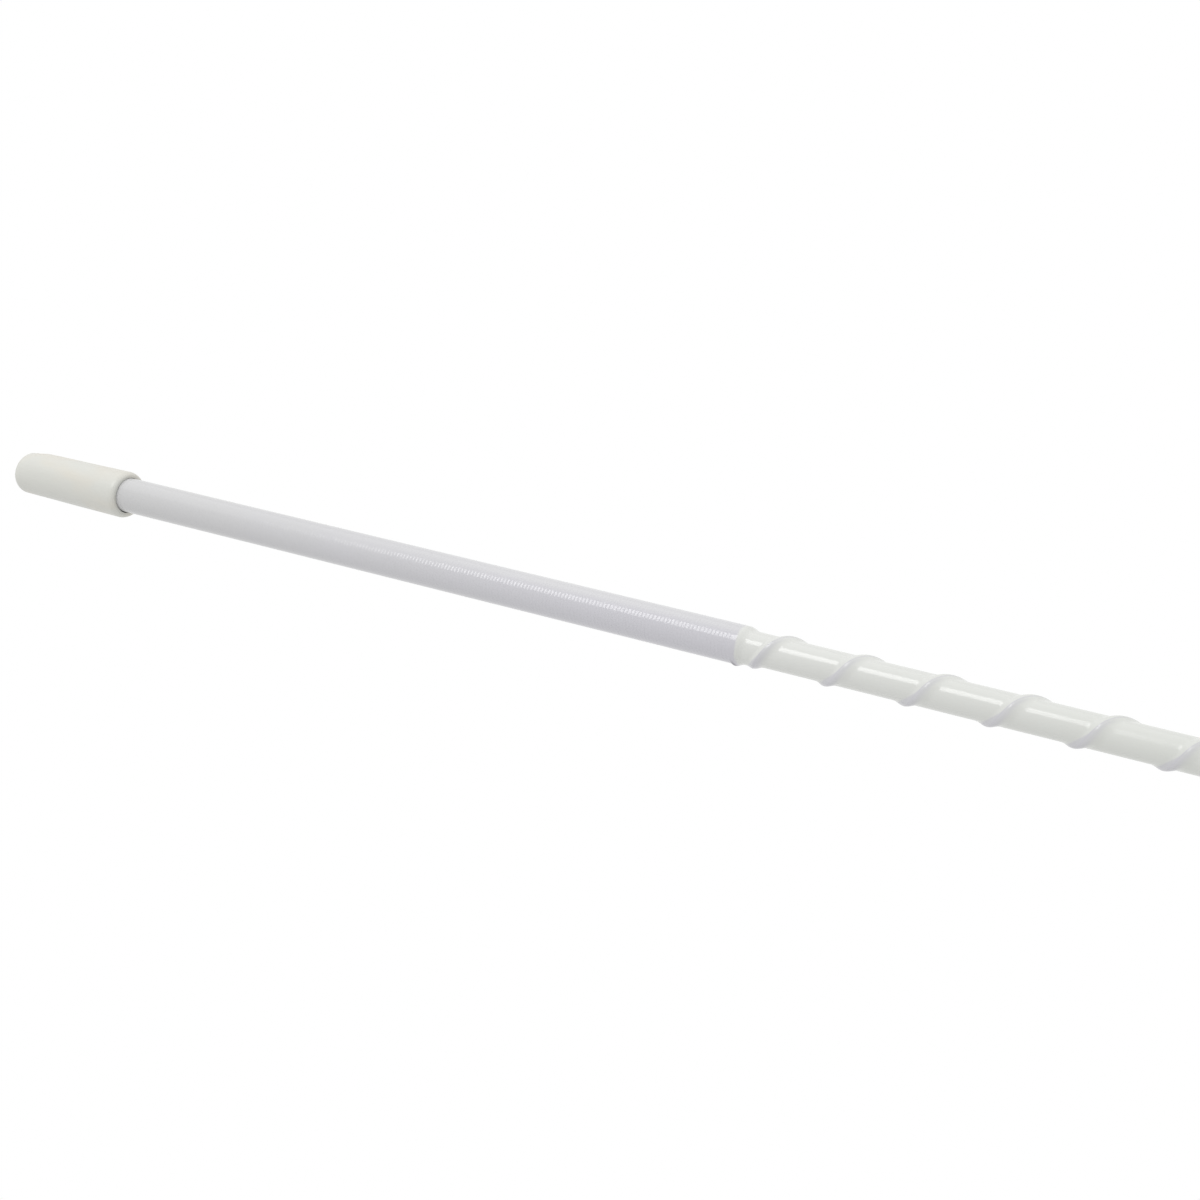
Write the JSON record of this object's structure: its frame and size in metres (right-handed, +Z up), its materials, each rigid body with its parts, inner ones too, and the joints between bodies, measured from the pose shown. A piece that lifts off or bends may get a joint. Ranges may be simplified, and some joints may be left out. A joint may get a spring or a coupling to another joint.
{
  "type": "helical whip antenna",
  "caption": "Slim white fibreglass whip antenna with a close-wound coil near the tip, a raised spiral winding, a pull-off vinyl tip cap and a threaded base ferrule.",
  "frame": {"origin": "on the surface that the antenna lies on, under the middle of its length", "axes": "+X runs along the rod from the closed tip to the threaded base, +Z is up from the surface, and +Y is the far side when the tip is on the left"},
  "size_m": [0.914, 0.0184, 0.0176],
  "materials": {
    "cap_vinyl": "soft warm-white dipped vinyl",
    "jacket_vinyl": "glossy white shrink tube, greyer where close wire lies under it",
    "glass_fibre": "drawn glass fibre and resin",
    "copper_wire": "enamelled copper",
    "solder": "dull solder",
    "brass": "turned brass",
    "nickel_plate": "bright nickel plate on brass"
  },
  "bodies": {
    "antenna": {"fibreglass_rod": "glass_fibre", "winding_jacket": "jacket_vinyl", "load_coil": "copper_wire", "helix_wire": "copper_wire", "tip_lead": "copper_wire", "tip_solder": "solder", "base_solder": "solder", "tip_ferrule": "nickel_plate", "base_ferrule": "nickel_plate"},
    "cap": {"tip_cap": "cap_vinyl"},
    "threaded_rod": {"tuning_rod": "brass"},
    "knob": {"tuning_knob": "brass"},
    "nut": {"lock_nut": "brass"}
  },
  "joints": [
    {"name": "cap_pull", "type": "slide", "parent": "antenna", "child": "cap", "axis": [-1, 0, 0], "range_m": [0, 0.06]},
    {"name": "tuning_travel", "type": "slide", "parent": "antenna", "child": "threaded_rod", "axis": [-1, 0, 0], "range_m": [0, 0.006]},
    {"name": "knob_turn", "type": "hinge", "parent": "threaded_rod", "child": "knob", "pos_m": [-0.448, 0, 0.0088], "axis": [-1, 0, 0], "range_deg": [0, 2700]},
    {"name": "nut_turn", "type": "hinge", "parent": "antenna", "child": "nut", "pos_m": [-0.439, 0, 0.0088], "axis": [-1, 0, 0], "continuous": true}
  ],
  "couplings": [
    {"joint": "knob_turn", "follows": "tuning_travel", "rad_per_m": 7853.9}
  ]
}
